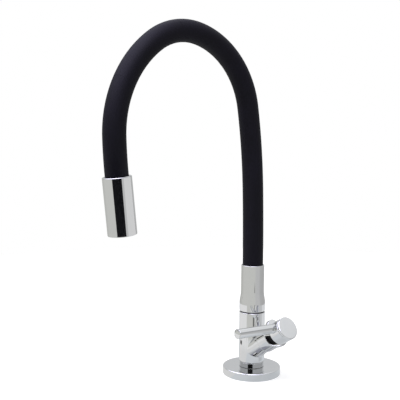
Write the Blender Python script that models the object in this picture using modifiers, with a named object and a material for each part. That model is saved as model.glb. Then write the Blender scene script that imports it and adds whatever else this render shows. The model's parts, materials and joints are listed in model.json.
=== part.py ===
# Flexible kitchen faucet: a deck-mounted body with a quarter-turn side valve and a bendable black spout.
# Metres, +Z up. The origin is the centre of the flange's underside, where it meets the worktop.
# The spout points towards -Y and the valve branch leans up towards +X.

import bpy
import bmesh
from math import acos, ceil, cos, pi, radians, sin, tan
from mathutils import Matrix, Vector

MM = 0.001

# Clearances and steps shared by every piece
GAP = 0.3 * MM
OVERRUN = 2.0 * MM
MERGE = 0.001 * MM
ROUND_STEPS = 24
WIDE_STEPS = 40
INNER_STEPS = 16
SMALL_STEPS = 12
CORNER_STEPS = 2
RING_SECTION_STEPS = 6
SMOOTH_ANGLE = radians(32)

# Fixing on the worktop
FLANGE_RADIUS = 31.6 * MM
FLANGE_THICKNESS = 8.2 * MM
FLANGE_EDGE = 0.9 * MM
GASKET_RADIUS = 24.5 * MM
GASKET_THICKNESS = 1.9 * MM
WORKTOP = 20.0 * MM
SHANK_RADIUS = 10.2 * MM
SHANK_BORE = 6.8 * MM
SHANK_LENGTH = 52.0 * MM
SHANK_ENGAGEMENT = 10.0 * MM
SHANK_CHAMFER = 1.2 * MM
WASHER_RADIUS = 19.0 * MM
WASHER_THICKNESS = 3.0 * MM
NUT_RADIUS = 17.3 * MM
NUT_THICKNESS = 9.0 * MM
NUT_CHAMFER = 1.3 * MM
NUT_CHAMFER_ANGLE = radians(30)
NUT_SIDES = 6

# Body
NECK_RADIUS = 13.65 * MM
NECK_HEIGHT = 5.4 * MM
BODY_RADIUS = 14.1 * MM
BODY_TOP = 69.2 * MM
BODY_EDGE = 0.5 * MM
BODY_BORE = 10.3 * MM
STEM_DEPTH = 21.5 * MM
INLET_RADIUS = 3.6 * MM
OUTLET_RADIUS = 3.2 * MM

# Side valve, measured along the branch from the point where its axis meets the body's axis
BRANCH_HEIGHT = 26.5 * MM
BRANCH_ANGLE = radians(33)
BRANCH_RADIUS = 9.6 * MM
BRANCH_LENGTH = 31.0 * MM
CHAMBER_RADIUS = 7.6 * MM
CHAMBER_FLOOR = 9.0 * MM
SEAT_THICKNESS = 1.2 * MM
DISC_THICKNESS = 2.0 * MM
DISC_PORT_RADIUS = 1.5 * MM
DISC_PORT_OFFSET = 3.0 * MM
CARTRIDGE_WALL = 1.3 * MM
CARTRIDGE_FLANGE = 2.0 * MM
CARTRIDGE_FLANGE_RADIUS = 9.2 * MM
CARTRIDGE_NECK_RADIUS = 5.6 * MM
CARTRIDGE_NECK_END = 43.0 * MM
CARTRIDGE_WINDOW = 4.6 * MM
CARTRIDGE_RING_DEPTH = 6.0 * MM
CARTRIDGE_RING = 0.8 * MM
SPINDLE_RADIUS = 3.0 * MM
SPINDLE_FOOT = 3.0 * MM
SPINDLE_END = 55.5 * MM
SPINDLE_RING_PLACE = 34.0 * MM
SPINDLE_RING = 0.6 * MM
SPLINE_LENGTH = 5.0 * MM
SPLINE_COUNT = 6
SPLINE_DEPTH = 0.7 * MM
BONNET_RADIUS = 12.4 * MM
BONNET_START = 25.9 * MM
BONNET_END = 40.2 * MM
BONNET_EDGE = 0.7 * MM
BONNET_RECESS = 0.9 * MM
GLIDE_RADIUS = 9.5 * MM

# Handle, measured along the branch, and for the lever also outwards from the branch's axis
KNOB_RADIUS = 12.2 * MM
KNOB_START = 49.6 * MM
KNOB_END = 62.6 * MM
KNOB_EDGE = 0.5 * MM
KNOB_WEB = 2.2 * MM
CAP_THICKNESS = 2.3 * MM
CAP_EDGE = 0.8 * MM
CAP_PLUG_RADIUS = 10.6 * MM
CAP_PLUG_DEPTH = 1.5 * MM
SCREW_HEAD_RADIUS = 3.5 * MM
SCREW_HEAD_HEIGHT = 2.2 * MM
SCREW_RADIUS = 1.8 * MM
SCREW_LENGTH = 7.5 * MM
SCREW_SLOT = 1.0 * MM
LEVER_RADIUS = 4.95 * MM
LEVER_LENGTH = 61.0 * MM
LEVER_SEAT = 7.3 * MM
LEVER_PLACE = 55.2 * MM
LEVER_OFFSET = 4.2 * MM
LEVER_TILT = radians(3.1)
LEVER_EDGE = 0.9 * MM
LEVER_STUD_RADIUS = 2.4 * MM
LEVER_STUD_LENGTH = 3.0 * MM

# Turning joint of the spout
SWIVEL_WASHER_THICKNESS = 0.6 * MM
SWIVEL_WASHER_RADIUS = 13.35 * MM
COLLAR_RADIUS = 14.1 * MM
COLLAR_TOP_RADIUS = 12.55 * MM
COLLAR_STRAIGHT = 7.6 * MM
COLLAR_TAPER = 14.4 * MM
COLLAR_HEIGHT = 50.6 * MM
COLLAR_LIP = 0.45 * MM
COLLAR_PASSAGE = 6.6 * MM
TAPER_STEPS = 4
STEM_RADIUS = 9.0 * MM
STEM_BORE = 4.4 * MM
STEM_HEAD_RADIUS = 10.4 * MM
STEM_HEAD_HEIGHT = 12.0 * MM
STEM_RING = 1.25 * MM
STEM_RING_PLACES = {"swivel_oring_lower": 51.5 * MM, "swivel_oring_upper": 57.5 * MM}
CLIP_PLACE = 62.0 * MM
CLIP_HEIGHT = 2.4 * MM
CLIP_INNER = 7.7 * MM
CLIP_OUTER = 10.9 * MM
CLIP_OPENING = 9.0 * MM

# Flexible spout: each length of hose keeps its own bend, and a ball-ended flex joint lies between two of them
HOSE_RADIUS = 11.2 * MM
HOSE_BORE = 6.5 * MM
HOSE_LENGTHS = (82 * MM, 89 * MM, 104 * MM, 55 * MM, 108 * MM, 36 * MM)
HOSE_BENDS = tuple(radians(turn) for turn in (2.0, 7.7, 68.6, 47.0, 56.7, 4.3))
HOSE_RESOLUTION = 7
HOSE_BORE_RESOLUTION = 4
HOSE_STEP_TURN = radians(8.6)
HOSE_STEP_LENGTH = 40.0 * MM
HOSE_INSERTION = 13.0 * MM
CUP_CLEARANCE = 0.5 * MM
CUP_RIM = 4.2 * MM
CUP_STEPS = 24
DOME_ANGLES = tuple(radians(turn) for turn in (20, 40, 60))
CORE_RADIUS = 6.0 * MM
CORE_BORE = 4.0 * MM
CORE_RESOLUTION = 2
CORE_REACH = 7.0 * MM
CORE_SETBACK = 0.8 * MM
FERRULE_LENGTH = 9.0 * MM
SPIGOT_RADIUS = 3.6 * MM
SPIGOT_LENGTH = 10.0 * MM
SPIGOT_BORE = 2.5 * MM
BARB_DEPTH = 0.4 * MM
BARB_COUNT = 2

# Spout head, measured from its top along the water's way
HEAD_RADIUS = 14.0 * MM
HEAD_LENGTH = 55.4 * MM
HEAD_WALL = 1.4 * MM
HEAD_EDGE = 0.7 * MM
HEAD_OVERLAP = 9.0 * MM
CONNECTOR_SHOULDER = 16.0 * MM
CONNECTOR_BORE = 7.4 * MM
CONNECTOR_RING_PLACE = 18.0 * MM
HEAD_RING = 1.0 * MM
AERATOR_LENGTH = 14.0 * MM
AERATOR_RECESS = 1.0 * MM
AERATOR_WALL = 1.6 * MM
AERATOR_LIP = 1.4 * MM
SCREEN_THICKNESS = 3.0 * MM
SCREEN_HOLE = 0.9 * MM
SCREEN_RING_COUNTS = (1, 5, 10)
SCREEN_RING_STEP = 3.4 * MM
SCREEN_HOLE_SIDES = 6
AERATOR_GASKET_THICKNESS = 1.6 * MM
AERATOR_GASKET_BORE = 6.0 * MM

# Places that follow from the sizes above
shank_bore = SHANK_RADIUS + GAP
neck_base = FLANGE_THICKNESS + GAP
body_base = neck_base + NECK_HEIGHT + GAP
seat_base = CHAMBER_FLOOR + GAP
cartridge_base = seat_base + SEAT_THICKNESS + GAP
fixed_base = cartridge_base + GAP
moving_base = fixed_base + DISC_THICKNESS + GAP
foot_base = moving_base + DISC_THICKNESS + GAP
foot_top = foot_base + SPINDLE_FOOT
cartridge_radius = CHAMBER_RADIUS - GAP
disc_radius = cartridge_radius - CARTRIDGE_WALL - GAP
spindle_bore = SPINDLE_RADIUS + GAP
screw_hole = SCREW_RADIUS + GAP
window_place = cartridge_base + CARTRIDGE_WINDOW
neck_bore = CARTRIDGE_NECK_RADIUS + GAP
cartridge_ring_place = BRANCH_LENGTH - CARTRIDGE_RING_DEPTH
collar_base = BODY_TOP + SWIVEL_WASHER_THICKNESS + 2 * GAP
collar_top = collar_base + COLLAR_HEIGHT
stem_base = BODY_TOP - STEM_DEPTH + GAP
hose_start = collar_top - HOSE_INSERTION
ferrule_base = hose_start - GAP - FERRULE_LENGTH
core_start = HOSE_RADIUS + CORE_SETBACK
head_bore = HEAD_RADIUS - HEAD_WALL

for old in list(bpy.data.objects):
    bpy.data.objects.remove(old, do_unlink=True)

scene = bpy.context.scene
parts = bpy.data.collections.new("flexible_kitchen_faucet")
cutters = bpy.data.collections.new("cutters")
scene.collection.children.link(parts)
scene.collection.children.link(cutters)

CHROME = ((0.82, 0.83, 0.84), 0.06, 1.0)
BRASS = ((0.74, 0.56, 0.27), 0.3, 1.0)
STEEL = ((0.6, 0.6, 0.62), 0.25, 1.0)
BLACK_SILICONE = ((0.012, 0.012, 0.015), 0.5, 0.0)
BLACK_PLASTIC = ((0.01, 0.01, 0.012), 0.3, 0.0)
RUBBER = ((0.03, 0.03, 0.03), 0.75, 0.0)
GREY_PLASTIC = ((0.55, 0.56, 0.58), 0.45, 0.0)
WHITE_PLASTIC = ((0.8, 0.8, 0.78), 0.4, 0.0)
CERAMIC = ((0.88, 0.86, 0.82), 0.25, 0.0)


def material(name, color, roughness, metallic):
    made = bpy.data.materials.new(name)
    made.use_nodes = True
    shader = made.node_tree.nodes["Principled BSDF"]
    shader.inputs["Base Color"].default_value = (*color, 1.0)
    shader.inputs["Roughness"].default_value = roughness
    shader.inputs["Metallic"].default_value = metallic
    return made


def finish(piece, name, look, parent=None):
    """Names a piece, gives it its own material and smooth shading, and hangs it on its parent."""
    piece.name = name
    piece.data.name = name
    piece.data.materials.clear()
    piece.data.materials.append(material(name, *look))
    piece.data.shade_smooth()
    piece.data.set_sharp_from_angle(angle=SMOOTH_ANGLE)
    for home in list(piece.users_collection):
        home.objects.unlink(piece)
    parts.objects.link(piece)
    piece.parent = parent


def axis_empty(name, location, rotation=(0, 0, 0), parent=None):
    """An empty that stands on an axis and carries the pieces that belong to it."""
    empty = bpy.data.objects.new(name, None)
    empty.empty_display_size = HOSE_RADIUS
    parts.objects.link(empty)
    empty.parent = parent
    empty.location = location
    empty.rotation_euler = rotation
    return empty


def new_object(mesh):
    piece = bpy.data.objects.new(mesh.name, mesh)
    scene.collection.objects.link(piece)
    return piece


def settle(piece):
    """Turns an object with modifiers, or a curve, into one with a plain welded mesh."""
    bpy.context.view_layer.update()
    shape = piece.evaluated_get(bpy.context.evaluated_depsgraph_get())
    mesh = bpy.data.meshes.new_from_object(shape)
    weld = bmesh.new()
    weld.from_mesh(mesh)
    bmesh.ops.remove_doubles(weld, verts=weld.verts, dist=MERGE)
    weld.to_mesh(mesh)
    weld.free()
    result = new_object(mesh)
    result.matrix_world = piece.matrix_world.copy()
    bpy.data.objects.remove(piece, do_unlink=True)
    return result


def corner_arc(before, corner, after, radius):
    """The points of the arc that rounds one corner of a profile."""
    corner = Vector(corner)
    first = (Vector(before) - corner).normalized()
    second = (Vector(after) - corner).normalized()
    half = acos(first.dot(second)) / 2
    centre = corner + (first + second).normalized() * radius / sin(half)
    start = corner + first * radius / tan(half) - centre
    end = corner + second * radius / tan(half) - centre
    turn = pi - 2 * half
    points = []
    for step in range(CORNER_STEPS + 1):
        share = step / CORNER_STEPS
        spoke = (start * sin(turn * (1 - share)) + end * sin(turn * share)) / sin(turn)
        points.append(tuple(centre + spoke))
    return points


def turned(profile, steps=ROUND_STEPS):
    """A turned solid from (radius, height) or (radius, height, rounding), down the outside and up the bore."""
    points = []
    for index, entry in enumerate(profile):
        if len(entry) == 2:
            points.append(entry)
        else:
            after = profile[(index + 1) % len(profile)]
            points.extend(corner_arc(profile[index - 1][:2], entry[:2], after[:2], entry[2]))
    edges = [(index, index + 1) for index in range(len(points) - 1)]
    if profile[0][0] > 0:
        edges.append((len(points) - 1, 0))
    mesh = bpy.data.meshes.new("turned")
    mesh.from_pydata([(radius, 0, height) for radius, height in points], edges, [])
    piece = new_object(mesh)
    screw = piece.modifiers.new("turn", "SCREW")
    screw.axis = "Z"
    screw.steps = steps
    screw.render_steps = steps
    screw.use_merge_vertices = True
    screw.merge_threshold = MERGE
    return settle(piece)


def sleeve(outer, inner, top, bottom, steps=ROUND_STEPS):
    return turned([(outer, top), (outer, bottom), (inner, bottom), (inner, top)], steps)


def rod(radius, top, bottom, steps=ROUND_STEPS):
    return turned([(0, top), (radius, top), (radius, bottom), (0, bottom)], steps)


def seal_ring(middle, section, height):
    """A rubber ring of round section."""
    bpy.ops.mesh.primitive_torus_add(major_radius=middle, minor_radius=section,
                                     major_segments=INNER_STEPS, minor_segments=RING_SECTION_STEPS)
    return moved(bpy.context.object, Matrix.Translation((0, 0, height)))


def block(size, centre=(0, 0, 0)):
    bpy.ops.mesh.primitive_cube_add(size=1)
    return moved(bpy.context.object, Matrix.Translation(centre) @ Matrix.Diagonal((*size, 1)))


def moved(piece, matrix):
    piece.data.transform(matrix)
    return piece


def combine(piece, other, operation):
    """Joins, cuts or trims a piece with another, which is used up."""
    for home in list(other.users_collection):
        home.objects.unlink(other)
    cutters.objects.link(other)
    other.hide_render = True
    other.display_type = "WIRE"
    change = piece.modifiers.new("change", "BOOLEAN")
    change.operation = operation
    change.solver = "EXACT"
    change.object = other
    result = settle(piece)
    bpy.data.objects.remove(other, do_unlink=True)
    return result


def cut(piece, *others):
    for other in others:
        piece = combine(piece, other, "DIFFERENCE")
    return piece


def join(piece, *others):
    for other in others:
        piece = combine(piece, other, "UNION")
    return piece


def barbs(root, tip):
    """The outer profile of a hose tail from its root to its tip, with shoulders that grip the tube."""
    neck = SPIGOT_RADIUS - BARB_DEPTH
    pitch = (tip - root) / BARB_COUNT
    points = [(neck, root)]
    for index in range(BARB_COUNT):
        shoulder = root + pitch * (index + 1 / 2)
        points += [(neck, shoulder), (SPIGOT_RADIUS, shoulder), (neck, shoulder + pitch / 2)]
    return points


# Fixing on the worktop

def make_fixing():
    recess = GASKET_THICKNESS + GAP
    flange = turned([
        (FLANGE_RADIUS, FLANGE_THICKNESS, FLANGE_EDGE),
        (FLANGE_RADIUS, 0),
        (GASKET_RADIUS + GAP, 0),
        (GASKET_RADIUS + GAP, recess),
        (shank_bore, recess),
        (shank_bore, FLANGE_THICKNESS),
    ], WIDE_STEPS)
    finish(flange, "base_flange", CHROME)
    finish(sleeve(GASKET_RADIUS, shank_bore, GASKET_THICKNESS, 0, INNER_STEPS), "flange_gasket", RUBBER)
    finish(sleeve(NECK_RADIUS, shank_bore, neck_base + NECK_HEIGHT, neck_base), "neck_ring", CHROME)

    shank_top = body_base + SHANK_ENGAGEMENT
    shank = turned([
        (SHANK_RADIUS - SHANK_CHAMFER, shank_top),
        (SHANK_RADIUS, shank_top - SHANK_CHAMFER),
        (SHANK_RADIUS, SHANK_CHAMFER - SHANK_LENGTH),
        (SHANK_RADIUS - SHANK_CHAMFER, -SHANK_LENGTH),
        (SHANK_BORE, -SHANK_LENGTH),
        (SHANK_BORE, shank_top),
    ])
    finish(shank, "inlet_shank", BRASS)
    washer = sleeve(WASHER_RADIUS, shank_bore, -WORKTOP, -WORKTOP - WASHER_THICKNESS, INNER_STEPS)
    finish(washer, "deck_washer", RUBBER)

    nut_top = -WORKTOP - WASHER_THICKNESS - GAP
    nut_foot = nut_top - NUT_THICKNESS
    chamfer_height = NUT_CHAMFER * tan(NUT_CHAMFER_ANGLE)
    nut = rod(NUT_RADIUS + GAP, nut_top + OVERRUN, nut_foot - OVERRUN, NUT_SIDES)
    round_blank = turned([
        (NUT_RADIUS - NUT_CHAMFER, nut_top),
        (NUT_RADIUS, nut_top - chamfer_height),
        (NUT_RADIUS, nut_foot + chamfer_height),
        (NUT_RADIUS - NUT_CHAMFER, nut_foot),
        (shank_bore, nut_foot),
        (shank_bore, nut_top),
    ])
    finish(combine(nut, round_blank, "INTERSECT"), "lock_nut", BRASS)


# Body: an upright tube and a leaning branch, with the bores for the shank, the spout stem and the cartridge

branch_lean = pi / 2 - BRANCH_ANGLE
branch_frame = Matrix.Translation((0, 0, BRANCH_HEIGHT)) @ Matrix.Rotation(branch_lean, 4, "Y")
valve_axis = axis_empty("valve_axis", (0, 0, BRANCH_HEIGHT), (0, branch_lean, 0))
handle_axis = axis_empty("handle_axis", (0, 0, 0), parent=valve_axis)


def make_body():
    body = turned([
        (0, BODY_TOP),
        (BODY_RADIUS, BODY_TOP, BODY_EDGE),
        (BODY_RADIUS, body_base, BODY_EDGE),
        (0, body_base),
    ])
    body = join(body, moved(rod(BRANCH_RADIUS, BRANCH_LENGTH, 0), branch_frame))
    shank_hole = rod(shank_bore, body_base + SHANK_ENGAGEMENT + GAP, body_base - OVERRUN, INNER_STEPS)
    stem_hole = rod(BODY_BORE, BODY_TOP + OVERRUN, BODY_TOP - STEM_DEPTH, INNER_STEPS)
    clip_top = CLIP_PLACE + CLIP_HEIGHT + GAP
    clip_groove = rod(CLIP_OUTER + GAP, clip_top, CLIP_PLACE - GAP, INNER_STEPS)
    chamber = moved(rod(CHAMBER_RADIUS, BRANCH_LENGTH + OVERRUN, CHAMBER_FLOOR), branch_frame)
    inlet = moved(rod(INLET_RADIUS, CHAMBER_FLOOR + OVERRUN, -OVERRUN, SMALL_STEPS), branch_frame)
    start = branch_frame @ Vector((0, 0, window_place))
    way = Vector((0, 0, BODY_TOP - STEM_DEPTH)) - start
    turn = way.to_track_quat("Z", "Y").to_matrix().to_4x4()
    outlet = moved(rod(OUTLET_RADIUS, way.length + OVERRUN, 0, SMALL_STEPS), Matrix.Translation(start) @ turn)
    body = cut(body, shank_hole, stem_hole, clip_groove, chamber, inlet, outlet)
    finish(body, "tap_body", CHROME)


def make_cartridge():
    flange_base = BRANCH_LENGTH + GAP
    flange_top = flange_base + CARTRIDGE_FLANGE
    inner = disc_radius + GAP
    ring_middle = CHAMBER_RADIUS - GAP - CARTRIDGE_RING
    groove = ring_middle - CARTRIDGE_RING - GAP
    groove_half = CARTRIDGE_RING + GAP
    body = turned([
        (CARTRIDGE_NECK_RADIUS, CARTRIDGE_NECK_END),
        (CARTRIDGE_NECK_RADIUS, flange_top),
        (CARTRIDGE_FLANGE_RADIUS, flange_top),
        (CARTRIDGE_FLANGE_RADIUS, flange_base),
        (cartridge_radius, flange_base),
        (cartridge_radius, cartridge_ring_place + groove_half),
        (groove, cartridge_ring_place + groove_half),
        (groove, cartridge_ring_place - groove_half),
        (cartridge_radius, cartridge_ring_place - groove_half),
        (cartridge_radius, cartridge_base),
        (inner, cartridge_base),
        (inner, foot_top + GAP),
        (spindle_bore, foot_top + GAP),
        (spindle_bore, CARTRIDGE_NECK_END),
    ], SMALL_STEPS)
    window = block((2 * CHAMBER_RADIUS, CARTRIDGE_WINDOW, CARTRIDGE_WINDOW), (0, 0, window_place))
    finish(cut(body, window), "cartridge_body", BRASS, valve_axis)
    ring = seal_ring(ring_middle, CARTRIDGE_RING, cartridge_ring_place)
    finish(ring, "cartridge_oring", RUBBER, valve_axis)
    seat = sleeve(disc_radius, INLET_RADIUS + GAP, seat_base + SEAT_THICKNESS, seat_base, SMALL_STEPS)
    finish(seat, "seat_seal", RUBBER, valve_axis)
    for name, base, parent in (("fixed_disc", fixed_base, valve_axis), ("moving_disc", moving_base, handle_axis)):
        disc = rod(disc_radius, base + DISC_THICKNESS, base, SMALL_STEPS)
        for side in (-1, 1):
            port = rod(DISC_PORT_RADIUS, base + DISC_THICKNESS + OVERRUN, base - OVERRUN, SMALL_STEPS)
            disc = cut(disc, moved(port, Matrix.Translation((side * DISC_PORT_OFFSET, 0, 0))))
        finish(disc, name, CERAMIC, parent)


def make_spindle():
    ring_middle = SPINDLE_RADIUS - SPINDLE_RING
    groove = ring_middle - SPINDLE_RING - GAP
    groove_half = SPINDLE_RING + GAP
    spindle = turned([
        (0, SPINDLE_END),
        (SPINDLE_RADIUS, SPINDLE_END),
        (SPINDLE_RADIUS, SPINDLE_RING_PLACE + groove_half),
        (groove, SPINDLE_RING_PLACE + groove_half),
        (groove, SPINDLE_RING_PLACE - groove_half),
        (SPINDLE_RADIUS, SPINDLE_RING_PLACE - groove_half),
        (SPINDLE_RADIUS, foot_top),
        (disc_radius, foot_top),
        (disc_radius, foot_base),
        (0, foot_base),
    ], SMALL_STEPS)
    thread = rod(screw_hole, SPINDLE_END + OVERRUN, SPINDLE_END - SCREW_LENGTH, SMALL_STEPS)
    spindle = cut(spindle, thread)
    spline_middle = SPINDLE_END + (OVERRUN - SPLINE_LENGTH) / 2
    for index in range(SPLINE_COUNT):
        flute = moved(block((SPLINE_DEPTH, SPLINE_DEPTH, SPLINE_LENGTH + OVERRUN)), Matrix.Rotation(pi / 4, 4, "Z"))
        turn = Matrix.Rotation(2 * pi * index / SPLINE_COUNT, 4, "Z")
        spindle = cut(spindle, moved(flute, turn @ Matrix.Translation((SPINDLE_RADIUS, 0, spline_middle))))
    finish(spindle, "spindle", BRASS, handle_axis)
    ring = seal_ring(ring_middle, SPINDLE_RING, SPINDLE_RING_PLACE)
    finish(ring, "spindle_oring", RUBBER, handle_axis)


def make_bonnet():
    recess = BONNET_END - BONNET_RECESS
    flange_top = BRANCH_LENGTH + GAP + CARTRIDGE_FLANGE
    bonnet = turned([
        (BONNET_RADIUS, BONNET_END, BONNET_EDGE),
        (BONNET_RADIUS, BONNET_START, BONNET_EDGE),
        (BRANCH_RADIUS + GAP, BONNET_START),
        (BRANCH_RADIUS + GAP, flange_top + GAP),
        (neck_bore, flange_top + GAP),
        (neck_bore, recess),
        (GLIDE_RADIUS + GAP, recess),
        (GLIDE_RADIUS + GAP, BONNET_END),
    ])
    finish(bonnet, "bonnet_nut", CHROME, valve_axis)
    glide = sleeve(GLIDE_RADIUS, neck_bore, KNOB_START - GAP, recess + GAP)
    finish(glide, "glide_ring", BLACK_PLASTIC, valve_axis)


# Handle: a knob on the spindle, closed by a cap, with a lever rod screwed into a seat on its side

lever_side = Vector((-sin(LEVER_TILT), -cos(LEVER_TILT), 0))
lever_up = Vector((-cos(LEVER_TILT), sin(LEVER_TILT), 0))
lever_frame = Matrix.Translation(Vector((0, 0, LEVER_PLACE)) + lever_up * LEVER_OFFSET)
lever_frame = lever_frame @ Matrix((lever_up, lever_side.cross(lever_up), lever_side)).transposed().to_4x4()


def make_handle():
    web_base = SPINDLE_END + GAP
    web_top = web_base + KNOB_WEB
    cap_base = KNOB_END + GAP
    plug_base = cap_base - CAP_PLUG_DEPTH
    head_recess = SCREW_HEAD_RADIUS + GAP
    knob = turned([
        (KNOB_RADIUS, KNOB_END, KNOB_EDGE),
        (KNOB_RADIUS, KNOB_START, KNOB_EDGE),
        (spindle_bore, KNOB_START),
        (spindle_bore, web_base),
        (screw_hole, web_base),
        (screw_hole, web_top),
        (head_recess, web_top),
        (head_recess, plug_base - GAP),
        (CAP_PLUG_RADIUS + GAP, plug_base - GAP),
        (CAP_PLUG_RADIUS + GAP, KNOB_END),
    ])
    seat = moved(rod(LEVER_RADIUS + GAP, KNOB_RADIUS + OVERRUN, LEVER_SEAT - GAP), lever_frame)
    stud_end = LEVER_SEAT - LEVER_STUD_LENGTH
    stud_hole = moved(rod(LEVER_STUD_RADIUS + GAP, LEVER_SEAT, stud_end - GAP, SMALL_STEPS), lever_frame)
    finish(cut(knob, seat, stud_hole), "handle_knob", CHROME, handle_axis)

    cap = turned([
        (0, cap_base + CAP_THICKNESS),
        (KNOB_RADIUS, cap_base + CAP_THICKNESS, CAP_EDGE),
        (KNOB_RADIUS, cap_base),
        (CAP_PLUG_RADIUS, cap_base),
        (CAP_PLUG_RADIUS, plug_base),
        (0, plug_base),
    ])
    finish(cap, "knob_cap", CHROME, handle_axis)

    head_base = web_top + GAP
    head_top = head_base + SCREW_HEAD_HEIGHT
    screw = turned([
        (0, head_top),
        (SCREW_HEAD_RADIUS, head_top),
        (SCREW_HEAD_RADIUS, head_base),
        (SCREW_RADIUS, head_base),
        (SCREW_RADIUS, head_base - SCREW_LENGTH),
        (0, head_base - SCREW_LENGTH),
    ], SMALL_STEPS)
    slot = block((2 * SCREW_HEAD_RADIUS + OVERRUN, SCREW_SLOT, SCREW_HEAD_HEIGHT), (0, 0, head_top))
    finish(cut(screw, slot), "handle_screw", STEEL, handle_axis)

    lever = turned([
        (0, LEVER_LENGTH),
        (LEVER_RADIUS, LEVER_LENGTH, LEVER_EDGE),
        (LEVER_RADIUS, LEVER_SEAT),
        (LEVER_STUD_RADIUS, LEVER_SEAT),
        (LEVER_STUD_RADIUS, stud_end),
        (0, stud_end),
    ])
    finish(moved(lever, lever_frame), "lever_rod", CHROME, handle_axis)


# Turning joint: a hollow stem, screwed into the spout's collar, turns on two rubber rings in the body

spout_axis = axis_empty("spout_axis", (0, 0, BODY_TOP))
spout_frame = Matrix.Translation((0, 0, -BODY_TOP))


def make_swivel():
    washer_base = BODY_TOP + GAP
    washer = sleeve(SWIVEL_WASHER_RADIUS, STEM_RADIUS + GAP, washer_base + SWIVEL_WASHER_THICKNESS, washer_base)
    finish(washer, "swivel_washer", BLACK_PLASTIC)
    clip = sleeve(CLIP_OUTER, CLIP_INNER, CLIP_PLACE + CLIP_HEIGHT, CLIP_PLACE, INNER_STEPS)
    opening = block((2 * CLIP_OUTER, CLIP_OPENING, 2 * CLIP_HEIGHT), (-CLIP_OUTER, 0, CLIP_PLACE + CLIP_HEIGHT / 2))
    finish(cut(clip, opening), "swivel_clip", WHITE_PLASTIC)

    ring_middle = BODY_BORE - GAP - STEM_RING
    groove = ring_middle - STEM_RING - GAP
    groove_half = STEM_RING + GAP
    profile = [
        (STEM_HEAD_RADIUS, collar_base + STEM_HEAD_HEIGHT),
        (STEM_HEAD_RADIUS, collar_base),
        (STEM_RADIUS, collar_base),
        (STEM_RADIUS, CLIP_PLACE + CLIP_HEIGHT + GAP),
        (CLIP_INNER - GAP, CLIP_PLACE + CLIP_HEIGHT + GAP),
        (CLIP_INNER - GAP, CLIP_PLACE - GAP),
        (STEM_RADIUS, CLIP_PLACE - GAP),
    ]
    for place in sorted(STEM_RING_PLACES.values(), reverse=True):
        profile.append((STEM_RADIUS, place + groove_half))
        profile.append((groove, place + groove_half))
        profile.append((groove, place - groove_half))
        profile.append((STEM_RADIUS, place - groove_half))
    profile.append((STEM_RADIUS, stem_base))
    profile.append((STEM_BORE, stem_base))
    profile.append((STEM_BORE, collar_base + STEM_HEAD_HEIGHT))
    finish(moved(turned(profile, INNER_STEPS), spout_frame), "swivel_stem", BRASS, spout_axis)
    for name, place in STEM_RING_PLACES.items():
        ring = seal_ring(ring_middle, STEM_RING, place)
        finish(moved(ring, spout_frame), name, RUBBER, spout_axis)


def make_collar():
    taper_top = collar_base + COLLAR_STRAIGHT + COLLAR_TAPER
    profile = [(COLLAR_TOP_RADIUS, collar_top, COLLAR_LIP)]
    for step in range(TAPER_STEPS + 1):
        share = step / TAPER_STEPS
        swell = (1 - cos(pi * share)) / 2
        radius = COLLAR_TOP_RADIUS + (COLLAR_RADIUS - COLLAR_TOP_RADIUS) * swell
        profile.append((radius, taper_top - COLLAR_TAPER * share))
    profile += [
        (COLLAR_RADIUS, collar_base, BODY_EDGE),
        (STEM_HEAD_RADIUS + GAP, collar_base),
        (STEM_HEAD_RADIUS + GAP, collar_base + STEM_HEAD_HEIGHT + GAP),
        (COLLAR_PASSAGE, collar_base + STEM_HEAD_HEIGHT + GAP),
        (COLLAR_PASSAGE, ferrule_base - GAP),
        (HOSE_RADIUS + GAP, ferrule_base - GAP),
        (HOSE_RADIUS + GAP, collar_top),
    ]
    finish(moved(turned(profile), spout_frame), "spout_collar", CHROME, spout_axis)

    ferrule_top = ferrule_base + FERRULE_LENGTH
    ferrule = turned(barbs(ferrule_top, ferrule_top + SPIGOT_LENGTH)[::-1] + [
        (HOSE_RADIUS, ferrule_top),
        (HOSE_RADIUS, ferrule_base),
        (SPIGOT_BORE, ferrule_base),
        (SPIGOT_BORE, ferrule_top + SPIGOT_LENGTH),
    ], INNER_STEPS)
    finish(moved(ferrule, spout_frame), "hose_ferrule", BRASS, spout_axis)


# Flexible spout: six lengths of black sleeve round an inner water tube, each an arc in the plane of the spout

def along(start, heading, length, bend, share):
    """The point and the heading part of the way along an arc; the heading is the lean from upright."""
    turn = bend * share
    radius = length / bend
    reach = radius * (cos(heading) - cos(heading + turn))
    rise = radius * (sin(heading + turn) - sin(heading))
    return start + Vector((0, -reach, rise)), heading + turn


def direction(heading):
    return Vector((0, -sin(heading), cos(heading)))


def tube(path, radius, resolution):
    """A filled tube along (point, share of the radius) pairs."""
    data = bpy.data.curves.new("tube", "CURVE")
    data.dimensions = "3D"
    data.bevel_depth = radius
    data.bevel_resolution = resolution
    data.use_fill_caps = True
    spline = data.splines.new("POLY")
    spline.points.add(len(path) - 1)
    for target, (point, share) in zip(spline.points, path):
        target.co = (*point, 1)
        target.radius = share
    return settle(new_object(data))


def arc_path(start, heading, length, bend, first):
    """Points along an arc, from a given share of it to its end."""
    count = max(ceil(bend / HOSE_STEP_TURN), ceil(length / HOSE_STEP_LENGTH))
    later = [index / count for index in range(1, count + 1)]
    shares = [first] + [share for share in later if share > first + 1 / (2 * count)]
    return [(along(start, heading, length, bend, share)[0], 1) for share in shares]


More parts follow.
